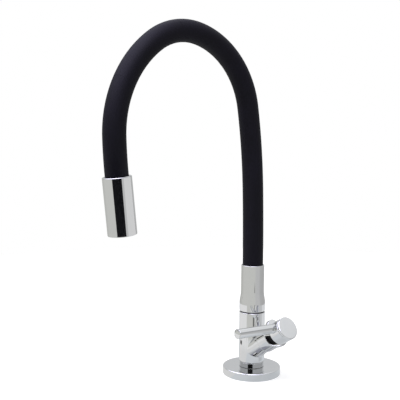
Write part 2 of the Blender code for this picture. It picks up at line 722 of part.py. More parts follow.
def make_hose():
    last = len(HOSE_LENGTHS) - 1
    joint = Vector((0, 0, collar_top))
    heading = 0.0
    carrier = spout_axis
    carrier_place = Vector((0, 0, BODY_TOP))
    for index, (length, bend) in enumerate(zip(HOSE_LENGTHS, HOSE_BENDS)):
        if index:
            carrier = axis_empty("flex_axis_%d" % index, joint - carrier_place, parent=carrier)
            carrier_place = joint
        back = direction(heading)
        origin = joint - carrier_place
        end, end_heading = along(origin, heading, length, bend, 1)
        ahead = direction(end_heading)

        sleeve_path = arc_path(origin, heading, length, bend, CUP_RIM / length if index else 0)
        bore_path = arc_path(origin, heading, length, bend, 0)
        core_path = arc_path(origin, heading, length, bend, core_start / length if index else 0)
        core_bore_path = arc_path(origin, heading, length, bend, 0)
        if index:
            bore_path.insert(0, (origin - back * OVERRUN, 1))
        else:
            sleeve_path.insert(0, (origin - back * HOSE_INSERTION, 1))
            core_path.insert(0, (origin - back * HOSE_INSERTION, 1))
            bore_path.insert(0, (origin - back * (HOSE_INSERTION + OVERRUN), 1))
            core_bore_path.insert(0, (origin - back * (HOSE_INSERTION + OVERRUN), 1))
        if index < last:
            sleeve_path += [(end + ahead * HOSE_RADIUS * sin(angle), cos(angle)) for angle in DOME_ANGLES]
            core_path.append((end + ahead * CORE_REACH, 1))
            bore_path.append((end + ahead * (HOSE_RADIUS + OVERRUN), 1))
            core_bore_path.append((end + ahead * (CORE_REACH + OVERRUN), 1))
        else:
            sleeve_path.append((end + ahead * HEAD_OVERLAP, 1))
            core_path.append((end + ahead * HEAD_OVERLAP, 1))
            bore_path.append((end + ahead * (HEAD_OVERLAP + OVERRUN), 1))
            core_bore_path.append((end + ahead * (HEAD_OVERLAP + OVERRUN), 1))

        hose = tube(sleeve_path, HOSE_RADIUS, HOSE_RESOLUTION)
        hose = cut(hose, tube(bore_path, HOSE_BORE, HOSE_BORE_RESOLUTION))
        if index:
            bpy.ops.mesh.primitive_uv_sphere_add(radius=HOSE_RADIUS + CUP_CLEARANCE, segments=CUP_STEPS,
                                                 ring_count=CUP_STEPS // 2)
            hose = cut(hose, moved(bpy.context.object, Matrix.Rotation(-heading, 4, "X")))
        finish(hose, "hose_sleeve_%d" % (index + 1), BLACK_SILICONE, carrier)
        core = cut(tube(core_path, CORE_RADIUS, CORE_RESOLUTION), tube(core_bore_path, CORE_BORE, CORE_RESOLUTION))
        finish(core, "hose_core_%d" % (index + 1), GREY_PLASTIC, carrier)
        joint = carrier_place + end
        heading = end_heading
    return carrier, joint - carrier_place, heading


# Spout head: a chrome shell over the hose's end, with the connector and the aerator inside

def make_head(carrier, place, heading):
    head_axis = axis_empty("head_axis", place, (heading, 0, 0), carrier)
    shoulder = HEAD_OVERLAP + GAP
    shell = turned([
        (HEAD_RADIUS, HEAD_LENGTH, HEAD_EDGE),
        (HEAD_RADIUS, 0, HEAD_EDGE),
        (HOSE_RADIUS + GAP, 0),
        (HOSE_RADIUS + GAP, shoulder),
        (head_bore, shoulder),
        (head_bore, HEAD_LENGTH),
    ])
    finish(shell, "spout_head", CHROME, head_axis)

    housing_end = HEAD_LENGTH - AERATOR_RECESS
    housing_start = housing_end - AERATOR_LENGTH
    housing_radius = head_bore - GAP
    housing_bore = housing_radius - AERATOR_WALL
    housing = sleeve(housing_radius, housing_bore, housing_end, housing_start)
    lip = sleeve(housing_radius - GAP, housing_bore - AERATOR_LIP, housing_end, housing_end - AERATOR_LIP)
    finish(join(housing, lip), "aerator_housing", CHROME, head_axis)

    insert_radius = housing_bore - GAP
    screen_end = housing_end - AERATOR_LIP - GAP
    screen = rod(insert_radius, screen_end, screen_end - SCREEN_THICKNESS, INNER_STEPS)
    for ring, count in enumerate(SCREEN_RING_COUNTS):
        for index in range(count):
            hole = rod(SCREEN_HOLE, screen_end + OVERRUN, screen_end - SCREEN_THICKNESS - OVERRUN, SCREEN_HOLE_SIDES)
            turn = Matrix.Rotation(2 * pi * index / count, 4, "Z")
            screen = cut(screen, moved(hole, turn @ Matrix.Translation((ring * SCREEN_RING_STEP, 0, 0))))
    finish(screen, "aerator_screen", WHITE_PLASTIC, head_axis)
    gasket_end = screen_end - SCREEN_THICKNESS - GAP
    gasket = sleeve(insert_radius, AERATOR_GASKET_BORE, gasket_end, gasket_end - AERATOR_GASKET_THICKNESS, INNER_STEPS)
    finish(gasket, "aerator_gasket", RUBBER, head_axis)

    connector_end = gasket_end - AERATOR_GASKET_THICKNESS - GAP
    connector_base = shoulder + GAP
    shoulder_end = connector_base + CONNECTOR_SHOULDER
    ring_middle = head_bore - GAP - HEAD_RING
    groove = ring_middle - HEAD_RING - GAP
    groove_half = HEAD_RING + GAP
    spigot_tip = connector_base - SPIGOT_LENGTH
    connector = turned([
        (insert_radius, connector_end),
        (insert_radius, shoulder_end),
        (head_bore - GAP, shoulder_end),
        (head_bore - GAP, CONNECTOR_RING_PLACE + groove_half),
        (groove, CONNECTOR_RING_PLACE + groove_half),
        (groove, CONNECTOR_RING_PLACE - groove_half),
        (head_bore - GAP, CONNECTOR_RING_PLACE - groove_half),
        (head_bore - GAP, connector_base),
    ] + barbs(connector_base, spigot_tip) + [
        (SPIGOT_BORE, spigot_tip),
        (SPIGOT_BORE, shoulder_end),
        (CONNECTOR_BORE, shoulder_end),
        (CONNECTOR_BORE, connector_end),
    ], INNER_STEPS)
    finish(connector, "head_connector", BRASS, head_axis)
    ring = seal_ring(ring_middle, HEAD_RING, CONNECTOR_RING_PLACE)
    finish(ring, "head_oring", RUBBER, head_axis)


make_fixing()
make_body()
make_cartridge()
make_spindle()
make_bonnet()
make_handle()
make_swivel()
make_collar()
make_head(*make_hose())
bpy.context.view_layer.update()
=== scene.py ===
# Looks for the flexible kitchen faucet: chrome fittings, a matte black spout that bends and a white studio.
import json
from math import acos, asin, ceil, cos, pi, radians, sin, tan

import bmesh
import bpy
from mathutils import Matrix, Vector


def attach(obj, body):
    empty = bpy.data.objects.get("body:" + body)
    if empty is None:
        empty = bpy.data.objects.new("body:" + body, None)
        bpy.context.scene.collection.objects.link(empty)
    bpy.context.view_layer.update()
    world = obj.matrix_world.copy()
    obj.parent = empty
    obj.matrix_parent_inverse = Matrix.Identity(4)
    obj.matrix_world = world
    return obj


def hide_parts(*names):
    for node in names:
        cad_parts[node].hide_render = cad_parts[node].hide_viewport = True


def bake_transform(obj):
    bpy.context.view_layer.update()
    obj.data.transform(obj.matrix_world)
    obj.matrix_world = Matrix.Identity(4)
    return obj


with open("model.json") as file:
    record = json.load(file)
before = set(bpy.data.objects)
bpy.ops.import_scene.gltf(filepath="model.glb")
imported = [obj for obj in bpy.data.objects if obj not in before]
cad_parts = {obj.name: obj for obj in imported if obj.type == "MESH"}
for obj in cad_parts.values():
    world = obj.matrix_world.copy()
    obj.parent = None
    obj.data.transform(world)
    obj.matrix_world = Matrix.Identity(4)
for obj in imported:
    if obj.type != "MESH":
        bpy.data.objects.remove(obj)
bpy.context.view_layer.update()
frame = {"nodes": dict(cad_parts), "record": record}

MM = 0.001

# Sizes of the dressed pieces, most of them the solids' own. The thread, the guard, the branch's outer shape and
# the lever's dome are made only here. The black ring's end and the knob's start lie 1.1 mm nearer the bonnet
# than in the solids.
GAP = 0.3 * MM
FLANGE = dict(radius=31.6 * MM, thickness=8.2 * MM, edge=0.9 * MM, foot_edge=0.25 * MM)
GASKET = dict(radius=24.5 * MM, thickness=1.9 * MM)
SHANK = dict(radius=10.2 * MM, bore=6.8 * MM, length=52.0 * MM, top=24.2 * MM, chamfer=1.2 * MM,
             lead=0.8 * MM)
THREAD = dict(pitch=1.8 * MM, depth=0.75 * MM, start=-50.6 * MM, height=58.0 * MM, inset=0.02 * MM, steps=48)
THREAD_BURIED = 0.15    # of the depth, inside the shank
THREAD_WIDTH = 0.52     # of the pitch
NUT = dict(radius=17.3 * MM, top=-23.3 * MM, thickness=9.0 * MM, chamfer=1.3 * MM, slope=radians(30), sides=6,
           spare=1 * MM)
NECK = dict(radius=13.65 * MM, base=8.5 * MM, top=13.9 * MM, edge=0.2 * MM)
BODY = dict(radius=14.1 * MM, base=14.2 * MM, top=69.2 * MM, edge=0.5 * MM)
BRANCH_HEIGHT = 26.5 * MM
BRANCH_LEAN = radians(57)
BRANCH = dict(radius=9.6 * MM, length=31.0 * MM, outer=11.2 * MM, root=13.2 * MM, shoulder=25.3 * MM,
              flare=22.0 * MM, edge=0.8 * MM)
BONNET = dict(radius=12.4 * MM, start=25.9 * MM, end=40.2 * MM, edge=0.7 * MM, recess=0.9 * MM, room=2.6 * MM)
GLIDE = dict(radius=9.5 * MM, bore=5.9 * MM, start=39.6 * MM, end=48.2 * MM, edge=0.2 * MM)
KNOB = dict(radius=12.2 * MM, start=48.5 * MM, end=62.6 * MM, edge=0.5 * MM, bore=3.3 * MM, web=55.8 * MM,
            web_thickness=2.2 * MM, screw_hole=2.1 * MM, head_hole=3.8 * MM, mouth=10.9 * MM,
            mouth_floor=61.1 * MM)
CAP = dict(radius=12.2 * MM, base=62.9 * MM, thickness=2.3 * MM, edge=0.8 * MM, base_edge=0.15 * MM,
           plug=10.6 * MM, depth=1.5 * MM)
LEVER = dict(radius=4.95 * MM, length=61.0 * MM, seat=7.3 * MM, fit=0.12 * MM, dome=13.2 * MM, edge=0.25 * MM,
             stud=2.4 * MM, stud_length=3.0 * MM, spare=2 * MM)
LEVER_PLACE = 55.2 * MM
LEVER_OFFSET = 4.2 * MM
LEVER_TILT = radians(3.1)
COLLAR = dict(radius=14.1 * MM, top_radius=12.55 * MM, base=70.4 * MM, straight=7.6 * MM, taper=14.4 * MM,
              height=50.6 * MM, lip=0.45 * MM, edge=0.5 * MM, bore=10.7 * MM, bore_top=82.7 * MM,
              throat=6.6 * MM, throat_top=98.4 * MM)
WASHER = dict(radius=13.35 * MM, bore=9.3 * MM, base=69.5 * MM, top=70.1 * MM, edge=0.1 * MM)
HOSE_RADIUS = 11.2 * MM
HOSE_START = 121.0 * MM
HOSE_INSERTION = 13.0 * MM
HOSE_END_GAP = 0.2 * MM
HOSE_LENGTHS = (82 * MM, 89 * MM, 104 * MM, 55 * MM, 108 * MM, 36 * MM)
HOSE_BENDS = tuple(radians(turn) for turn in (2.0, 7.7, 68.6, 47.0, 56.7, 4.3))
HEAD = dict(radius=14.0 * MM, length=55.4 * MM, wall=1.4 * MM, edge=0.7 * MM, overlap=9.0 * MM)
AERATOR = dict(recess=1.0 * MM, length=14.0 * MM, wall=1.6 * MM, lip=1.4 * MM, edge=0.3 * MM)
WIRE = dict(radius=0.14 * MM, pitch=1.1 * MM, reach=9.35 * MM, count=17, sides=8, press=0.9)

# The guard's places round the branch are in degrees: 0 faces the spout and 90 is underneath. It begins sunk
# under the bonnet's end, has its full height from "full" on, and its last side slants above "upright".
GUARD = dict(start=36.6 * MM, end=48.0 * MM, radius=12.15 * MM, bore=9.85 * MM, root_bore=10.75 * MM,
             edge=0.6 * MM, sunk=0.15 * MM, upright=0.8 * MM, first=25, full=84, last=349, skew=11,
             skew_power=8, top=-82, top_lift=4.6 * MM, foot=101, foot_lift=1.5 * MM, spread=58)
GUARD_ROWS = (0, 0.15, 0.3, 0.45, 0.6, 0.75, 0.9, 1)
GUARD_SWELL = 0.7       # of its height, where it has swelled out fully
GUARD_INNER_ROW = 0.1   # of the part of its bore above the bonnet

TURNED_STEPS = 128
CORNER_STEPS = 6
CURVE_STEPS = 24
DOME_STEPS = 12
GUARD_STEPS = 144
SUPPORT = 0.25 * MM
WELD = 0.0005 * MM
HOSE_SIDES = 64
HOSE_STEP = 2.0 * MM
HOSE_BLEND = (0.55, 0.45)    # of the two lengths; make_hose works out the points there, but nothing uses them
SMOOTH_ANGLE = radians(30)


# Nodes and their maths: an expression on a Val adds the Math nodes that it needs

class Val:
    """A number held as a node's output socket, which may vary over a surface."""

    def __init__(self, writer, socket):
        self.writer = writer
        self.socket = socket

    def math(self, operation, *others):
        made = self.writer.result("ShaderNodeMath", dict(operation=operation), [self, *others])
        return Val(self.writer, made)

    def __add__(self, other):
        return self.math("ADD", other)

    def __mul__(self, other):
        return self.math("MULTIPLY", other)

    def __sub__(self, other):
        return self.math("SUBTRACT", other)

    def __rsub__(self, other):
        return (self * -1) + other

    def __truediv__(self, other):
        return self.math("DIVIDE", other)

    __radd__ = __add__
    __rmul__ = __mul__

    def size(self):
        return self.math("ABSOLUTE")

    def ramp(self, low, high):
        """0 below low, 1 above high, smooth between them."""
        made = self.writer.result("ShaderNodeMapRange", dict(interpolation_type="SMOOTHSTEP"),
                                  [self, low, high, 0.0, 1.0])
        return Val(self.writer, made)


class Writer:
    """A node tree being written."""

    def __init__(self, tree):
        self.tree = tree

    def node(self, kind, settings=None, values=()):
        """Adds a node: first its settings, then its sockets' values or links."""
        made = self.tree.nodes.new(kind)
        for name, value in (settings or {}).items():
            setattr(made, name, value)
        pairs = values.items() if isinstance(values, dict) else enumerate(values)
        for key, value in pairs:
            self.feed(made.inputs[key], value)
        return made

    def result(self, kind, settings=None, values=()):
        """Adds a node and gives its first output."""
        return self.node(kind, settings, values).outputs[0]

    def feed(self, socket, value):
        if isinstance(value, Val):
            value = value.socket
        if isinstance(value, bpy.types.NodeSocket):
            self.tree.links.new(value, socket)
        else:
            socket.default_value = value


class Look(Writer):
    """The tree of a material or of the world."""

    def place(self):
        """The point's own coordinates on the object, in metres."""
        return self.node("ShaderNodeTexCoord").outputs["Object"]

    def noise(self, per_metre, detail=3.0, roughness=0.5, stretch=(1, 1, 1)):
        scaled = self.result("ShaderNodeMapping", values={"Vector": self.place(), "Scale": stretch})
        return Val(self, self.result("ShaderNodeTexNoise", dict(noise_dimensions="3D"), {
            "Vector": scaled, "Scale": per_metre, "Detail": detail, "Roughness": roughness}))

    def mixed(self, share, first, second):
        """A colour between two colours."""
        made = self.node("ShaderNodeMix", dict(data_type="RGBA"))
        self.feed(made.inputs[0], share)
        for socket, value in ((made.inputs[6], first), (made.inputs[7], second)):
            self.feed(socket, (*value, 1) if isinstance(value, tuple) else value)
        return made.outputs[2]

    def scaled(self, color, level):
        return self.result("ShaderNodeVectorMath", dict(operation="SCALE"), {"Vector": color, "Scale": level})

    def measured(self, operation, *vectors):
        """A length, a distance or a reach along an axis, from vectors."""
        made = self.node("ShaderNodeVectorMath", dict(operation=operation), vectors)
        return Val(self, made.outputs["Value"])

    def bump(self, height, strength, distance):
        return self.result("ShaderNodeBump", values={
            "Strength": strength, "Distance": distance, "Height": height})


class Finish(Look):
    """A material with a Principled shader, whose plain sockets are set at once."""

    def __init__(self, name, sockets):
        self.material = bpy.data.materials.new(name)
        self.material.use_nodes = True
        super().__init__(self.material.node_tree)
        self.shader = self.tree.nodes["Principled BSDF"]
        for socket, value in sockets.items():
            self.feed(self.shader.inputs[socket], value)

    def varied(self, color, roughness, normal):
        """The material, fed with what changes over the surface."""
        self.feed(self.shader.inputs["Base Color"], color)
        self.feed(self.shader.inputs["Roughness"], roughness)
        self.feed(self.shader.inputs["Normal"], normal)
        return self.material


def polished_chrome():
    """Mirror plating with a faint bluish depth, wiped smears and a trace of unevenness."""
    look = Finish("polished_chrome", {"Metallic": 1.0})
    smear = look.noise(55, 4.0, 0.6, (1, 1, 0.45))
    speck = look.noise(1400, 2.0, 0.5).ramp(0.62, 0.74)
    haze = smear.ramp(0.42, 0.72)
    return look.varied(look.mixed(haze, (0.9, 0.905, 0.91), (0.87, 0.88, 0.89)),
                       haze * 0.03 + speck * 0.02 + 0.022,
                       look.bump(look.noise(160, 2.0), 0.03, 0.1 * MM))


def machined_brass():
    """Bare turned brass with fine tool rings and a little tarnish."""
    look = Finish("machined_brass", {"Metallic": 1.0})
    tarnish = look.noise(90, 4.0, 0.6).ramp(0.4, 0.75)
    rings = look.noise(600, 1.0, 0.5, (0.04, 0.04, 6))
    return look.varied(look.mixed(tarnish, (0.78, 0.6, 0.3), (0.55, 0.4, 0.19)),
                       tarnish * 0.15 + rings * 0.12 + 0.2,
                       look.bump(rings, 0.2, 0.05 * MM))


def black_silicone():
    """Matte black hose skin: a very fine grain, slightly uneven sheen and a trace of dust."""
    look = Finish("black_silicone", {"Specular IOR Level": 0.22, "Specular Tint": (0.9, 0.88, 1.0, 1)})
    cloud = look.noise(38, 4.0, 0.6)
    grain = look.noise(2600, 2.0, 0.6)
    dust = look.noise(420, 3.0, 0.7).ramp(0.6, 0.8)
    base = look.mixed(cloud.ramp(0.35, 0.7), (0.0012, 0.001, 0.0031), (0.0023, 0.0019, 0.0056))
    return look.varied(look.mixed(dust * 0.3, base, (0.016, 0.016, 0.02)),
                       cloud * 0.14 + grain * 0.08 + 0.46,
                       look.bump(grain, 0.25, 0.06 * MM))


def moulded(name, dark, light, roughness, grain_depth, sockets=None):
    """Moulded plastic or rubber between two tones, with a cloudy sheen and a fine grain."""
    look = Finish(name, sockets or {})
    cloud = look.noise(70, 3.0, 0.6)
    grain = look.noise(1800, 2.0, 0.5)
    return look.varied(look.mixed(cloud.ramp(0.3, 0.7), dark, light),
                       cloud * 0.12 + roughness,
                       look.bump(grain, 0.3, grain_depth))


def brushed_steel():
    look = Finish("brushed_steel", {"Metallic": 1.0})
    brush = look.noise(900, 2.0, 0.5, (1, 0.08, 1))
    return look.varied(look.mixed(brush, (0.52, 0.52, 0.54), (0.68, 0.68, 0.7)),
                       brush * 0.2 + 0.2,
                       look.bump(brush, 0.2, 0.04 * MM))


BRASS = machined_brass()
SILICONE = black_silicone()
STEEL = brushed_steel()

SLOT_FINISHES = {
    "chrome": polished_chrome(),
    "brass": BRASS,
    "steel": STEEL,
    "black_silicone": SILICONE,
    "black_plastic": moulded("black_plastic", (0.0022, 0.0022, 0.003), (0.0045, 0.0045, 0.0055), 0.34,
                             0.02 * MM, {"Specular IOR Level": 0.14}),
    "rubber": moulded("black_rubber", (0.018, 0.018, 0.019), (0.034, 0.033, 0.033), 0.6, 0.06 * MM),
    "grey_plastic": moulded("grey_tube", (0.5, 0.51, 0.53), (0.58, 0.59, 0.61), 0.36, 0.02 * MM),
    "white_plastic": moulded("white_acetal", (0.76, 0.76, 0.74), (0.84, 0.84, 0.82), 0.3, 0.02 * MM),
    "ceramic": moulded("lapped_ceramic", (0.84, 0.82, 0.78), (0.9, 0.88, 0.85), 0.16, 0.01 * MM),
}
SLOT_OF_NODE = {entry["node"]: entry["material_slot"] for entry in frame["record"]["subparts"]}
BODY_OF_NODE = {}
for body_name, members in frame["record"]["behaviour"]["bodies"].items():
    for member in members:
        BODY_OF_NODE[member] = body_name

for node_name, node_object in frame["nodes"].items():
    node_object.data.materials.clear()
    node_object.data.materials.append(SLOT_FINISHES[SLOT_OF_NODE[node_name]])


# Shapes

def add_object(data, name):
    made = bpy.data.objects.new(name, data)
    bpy.context.scene.collection.objects.link(made)
    return made


def settle(piece):
    """The piece with its modifiers applied, as a plain welded mesh at the origin."""
    name = piece.name
    bpy.context.view_layer.update()
    mesh = bpy.data.meshes.new_from_object(piece.evaluated_get(bpy.context.evaluated_depsgraph_get()))
    mesh.transform(piece.matrix_world)
    weld = bmesh.new()
    weld.from_mesh(mesh)
    bmesh.ops.remove_doubles(weld, verts=weld.verts, dist=WELD)
    weld.to_mesh(mesh)
    weld.free()
    bpy.data.objects.remove(piece, do_unlink=True)
    return add_object(mesh, name)


def corner_arc(before, corner, after, radius):
    """The points that round a corner, with one more on each side that keeps the long faces' shading flat."""
    corner = Vector(corner)
    first = (Vector(before) - corner).normalized()
    second = (Vector(after) - corner).normalized()
    half = acos(first.dot(second)) / 2
    reach = radius / tan(half)
    centre = corner + (first + second).normalized() * radius / sin(half)
    start = corner + first * reach - centre
    end = corner + second * reach - centre
    turn = pi - 2 * half
    if (Vector(before) - corner).length > reach + 2 * SUPPORT:
        yield tuple(corner + first * (reach + SUPPORT))
    for step in range(CORNER_STEPS + 1):
        share = step / CORNER_STEPS
        yield tuple(centre + (start * sin(turn * (1 - share)) + end * sin(turn * share)) / sin(turn))
    if (Vector(after) - corner).length > reach + 2 * SUPPORT:
        yield tuple(corner + second * (reach + SUPPORT))


def turned(name, profile, steps=TURNED_STEPS):
    """A turned solid from (radius, height) or (radius, height, rounding), down the outside, up the bore."""
    points = []
    for index, entry in enumerate(profile):
        if len(entry) == 2:
            points.append(entry)
        else:
            after = profile[(index + 1) % len(profile)]
            points.extend(corner_arc(profile[index - 1][:2], entry[:2], after[:2], entry[2]))
    edges = [(index, index + 1) for index in range(len(points) - 1)]
    if profile[0][0] > 0:
        edges.append((len(points) - 1, 0))
    mesh = bpy.data.meshes.new(name)
    mesh.from_pydata([(radius, 0, height) for radius, height in points], edges, [])
    piece = add_object(mesh, name)
    screw = piece.modifiers.new("turn", "SCREW")
    screw.steps = steps
    screw.render_steps = steps
    screw.use_merge_vertices = True
    screw.merge_threshold = WELD
    return settle(piece)


def swell(share):
    """Rises smoothly from 0 to 1 as share does."""
    return (1 - cos(pi * share)) / 2


def moved(piece, matrix):
    piece.data.transform(matrix)
    return piece


def combine(piece, other, operation):
    change = piece.modifiers.new("change", "BOOLEAN")
    change.operation = operation
    change.solver = "EXACT"
    change.object = other
    result = settle(piece)
    bpy.data.objects.remove(other, do_unlink=True)
    return result


def dress(piece, node):
    """Gives a finished piece its finish and shading, and lets it stand for its CAD node."""
    slot = SLOT_OF_NODE[node]
    piece.data.materials.clear()
    piece.data.materials.append(SLOT_FINISHES[slot])
    piece.data.shade_smooth()
    piece.data.set_sharp_from_angle(angle=SMOOTH_ANGLE)
    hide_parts(node)
    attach(piece, BODY_OF_NODE[node])


# Deck fixing and body

def make_flange():
    bore = SHANK["radius"] + GAP
    recess = GASKET["thickness"] + GAP
    recess_radius = GASKET["radius"] + GAP
    flange = turned("flange_plate", [
        (FLANGE["radius"], FLANGE["thickness"], FLANGE["edge"]),
        (FLANGE["radius"], 0, FLANGE["foot_edge"]),
        (recess_radius, 0),
        (recess_radius, recess),
        (bore, recess),
        (bore, FLANGE["thickness"]),
    ], 2 * TURNED_STEPS)
    dress(flange, "base_flange")
    neck = turned("neck_sleeve", [
        (NECK["radius"], NECK["top"], NECK["edge"]),
        (NECK["radius"], NECK["base"], NECK["edge"]),
        (bore, NECK["base"]),
        (bore, NECK["top"]),
    ])
    dress(neck, "neck_ring")


branch_frame = Matrix.Translation((0, 0, BRANCH_HEIGHT)) @ Matrix.Rotation(BRANCH_LEAN, 4, "Y")


def make_body():
    body = turned("body_casting", [
        (0, BODY["top"]),
        (BODY["radius"], BODY["top"], BODY["edge"]),
        (BODY["radius"], BODY["base"], BODY["edge"]),
        (0, BODY["base"]),
    ])
    flare = []
    for step in range(CURVE_STEPS + 1):
        share = step / CURVE_STEPS
        radius = BRANCH["outer"] + (BRANCH["root"] - BRANCH["outer"]) * swell(share)
        flare.append((radius, BRANCH["flare"] * (1 - share)))
    arm = turned("arm", [
        (0, BRANCH["length"]),
        (BRANCH["radius"], BRANCH["length"]),
        (BRANCH["radius"], BRANCH["shoulder"]),
        (BRANCH["outer"], BRANCH["shoulder"], BRANCH["edge"]),
        *flare,
        (0, 0),
    ])
    body = combine(body, moved(arm, branch_frame), "UNION")
    dress(body, "tap_body")


def guard_lift(degrees):
    """How far the guard swells outwards at a place round the branch."""
    total = 0
    for middle, lift in ((GUARD["top"], GUARD["top_lift"]), (GUARD["foot"], GUARD["foot_lift"])):
        away = abs((degrees - middle + 180) % 360 - 180)
        if away < GUARD["spread"]:
            total += lift * cos(pi / 2 * away / GUARD["spread"]) ** 2
    return total


def guard_section(degrees):
    """The guard's outline at a place round the branch, as (radius, height), up the outside, down the bore."""
    foot, start, edge = BONNET["end"], GUARD["start"], GUARD["edge"]
    grown = min(1, (degrees - GUARD["first"]) / (GUARD["full"] - GUARD["first"])) ** 2
    end = foot - GUARD["sunk"] + (GUARD["end"] - foot + GUARD["sunk"]) * grown
    lift = guard_lift(degrees)
    crest = GUARD["radius"] + lift
    section = [(GUARD["root_bore"], start)]
    for row in GUARD_ROWS:
        rise = sin(pi / 2 * min(1, row / GUARD_SWELL)) ** 2
        section.append((GUARD["radius"] + lift * rise, start + (end - edge - start) * row))
    for turn in (pi / 6, pi / 3, pi / 2):
        section.append((crest - edge * (1 - cos(turn)), end - edge * (1 - sin(turn))))
    inner_foot = min(end, foot)
    section += [
        (GUARD["bore"], end),
        (GUARD["bore"], inner_foot + (end - inner_foot) * GUARD_INNER_ROW),
        (GUARD["bore"], foot - BONNET["recess"] / 2),
    ]
    return section


def make_guard():
    """A guard over the black ring, open towards the front, that swells out most above the lever."""
    upright = BONNET["end"] + GUARD["upright"]
    verts, faces = [], []
    for step in range(GUARD_STEPS + 1):
        share = step / GUARD_STEPS
        degrees = GUARD["first"] + (GUARD["last"] - GUARD["first"]) * share
        skew = GUARD["skew"] * share ** GUARD["skew_power"]
        section = guard_section(degrees)
        for radius, height in section:
            angle = radians(degrees + skew * max(0, height - upright) / (GUARD["end"] - upright))
            verts.append((radius * sin(angle), -radius * cos(angle), height))
    count = len(section)
    for step in range(GUARD_STEPS):
        here, there = step * count, (step + 1) * count
        for index in range(count):
            after = (index + 1) % count
            faces.append((here + index, here + after, there + after, there + index))
    faces.append(tuple(reversed(range(count))))
    faces.append(tuple(range(GUARD_STEPS * count, (GUARD_STEPS + 1) * count)))
    mesh = bpy.data.meshes.new("guard")
    mesh.from_pydata(verts, [], faces)
    outward = bmesh.new()
    outward.from_mesh(mesh)
    bmesh.ops.recalc_face_normals(outward, faces=outward.faces)
    outward.to_mesh(mesh)
    outward.free()
    return add_object(mesh, "guard")


def make_bonnet():
    recess = BONNET["end"] - BONNET["recess"]
    inner = BRANCH["radius"] + GAP
    front = BRANCH["length"] + BONNET["room"]
    bonnet = turned("bonnet_sleeve", [
        (BONNET["radius"], BONNET["end"], BONNET["edge"]),
        (BONNET["radius"], BONNET["start"], BONNET["edge"]),
        (inner, BONNET["start"]),
        (inner, front),
        (GLIDE["bore"], front),
        (GLIDE["bore"], recess),
        (GLIDE["radius"] + GAP, recess),
        (GLIDE["radius"] + GAP, BONNET["end"]),
    ])
    bonnet = combine(bonnet, make_guard(), "UNION")
    dress(moved(bonnet, branch_frame), "bonnet_nut")
    glide = turned("glide_sleeve", [
        (GLIDE["radius"], GLIDE["end"], GLIDE["edge"]),
        (GLIDE["radius"], GLIDE["start"], GLIDE["edge"]),
        (GLIDE["bore"], GLIDE["start"]),
        (GLIDE["bore"], GLIDE["end"]),
    ])
    dress(moved(glide, branch_frame), "glide_ring")


lever_side = Vector((-sin(LEVER_TILT), -cos(LEVER_TILT), 0))
lever_up = Vector((-cos(LEVER_TILT), sin(LEVER_TILT), 0))
lever_frame = branch_frame @ Matrix.Translation(Vector((0, 0, LEVER_PLACE)) + lever_up * LEVER_OFFSET)
lever_frame = lever_frame @ Matrix((lever_up, lever_side.cross(lever_up), lever_side)).transposed().to_4x4()


def make_handle():
    web_end = KNOB["web"] + KNOB["web_thickness"]
    knob = turned("handle_grip", [
        (KNOB["radius"], KNOB["end"], KNOB["edge"]),
        (KNOB["radius"], KNOB["start"], KNOB["edge"]),
        (KNOB["bore"], KNOB["start"]),
        (KNOB["bore"], KNOB["web"]),
        (KNOB["screw_hole"], KNOB["web"]),
        (KNOB["screw_hole"], web_end),
        (KNOB["head_hole"], web_end),
        (KNOB["head_hole"], KNOB["mouth_floor"]),
        (KNOB["mouth"], KNOB["mouth_floor"]),
        (KNOB["mouth"], KNOB["end"]),
    ])
    knob = moved(knob, branch_frame)
    stud_end = LEVER["seat"] - LEVER["stud_length"]
    seat = turned("seat", [
        (0, KNOB["radius"] + LEVER["spare"]),
        (LEVER["radius"] + LEVER["fit"], KNOB["radius"] + LEVER["spare"]),
        (LEVER["radius"] + LEVER["fit"], LEVER["seat"] - GAP),
        (LEVER["stud"] + GAP, LEVER["seat"] - GAP),
        (LEVER["stud"] + GAP, stud_end - GAP),
        (0, stud_end - GAP),
    ])
    dress(combine(knob, moved(seat, lever_frame), "DIFFERENCE"), "handle_knob")
    cap_end, plug_end = CAP["base"] + CAP["thickness"], CAP["base"] - CAP["depth"]
    cap = turned("end_cap", [
        (0, cap_end),
        (CAP["radius"], cap_end, CAP["edge"]),
        (CAP["radius"], CAP["base"], CAP["base_edge"]),
        (CAP["plug"], CAP["base"]),
        (CAP["plug"], plug_end),
        (0, plug_end),
    ])
    dress(moved(cap, branch_frame), "knob_cap")
    rim = asin(LEVER["radius"] / LEVER["dome"])
    dome = []
    for step in range(DOME_STEPS):
        angle = rim * step / DOME_STEPS
        dome.append((LEVER["dome"] * sin(angle), LEVER["length"] - LEVER["dome"] * (1 - cos(angle))))
    lever = turned("lever_bar", [
        *dome,
        (LEVER["radius"], LEVER["length"] - LEVER["dome"] * (1 - cos(rim)), LEVER["edge"]),
        (LEVER["radius"], LEVER["seat"]),
        (LEVER["stud"], LEVER["seat"]),
        (LEVER["stud"], stud_end),
        (0, stud_end),
    ])
    dress(moved(lever, lever_frame), "lever_rod")


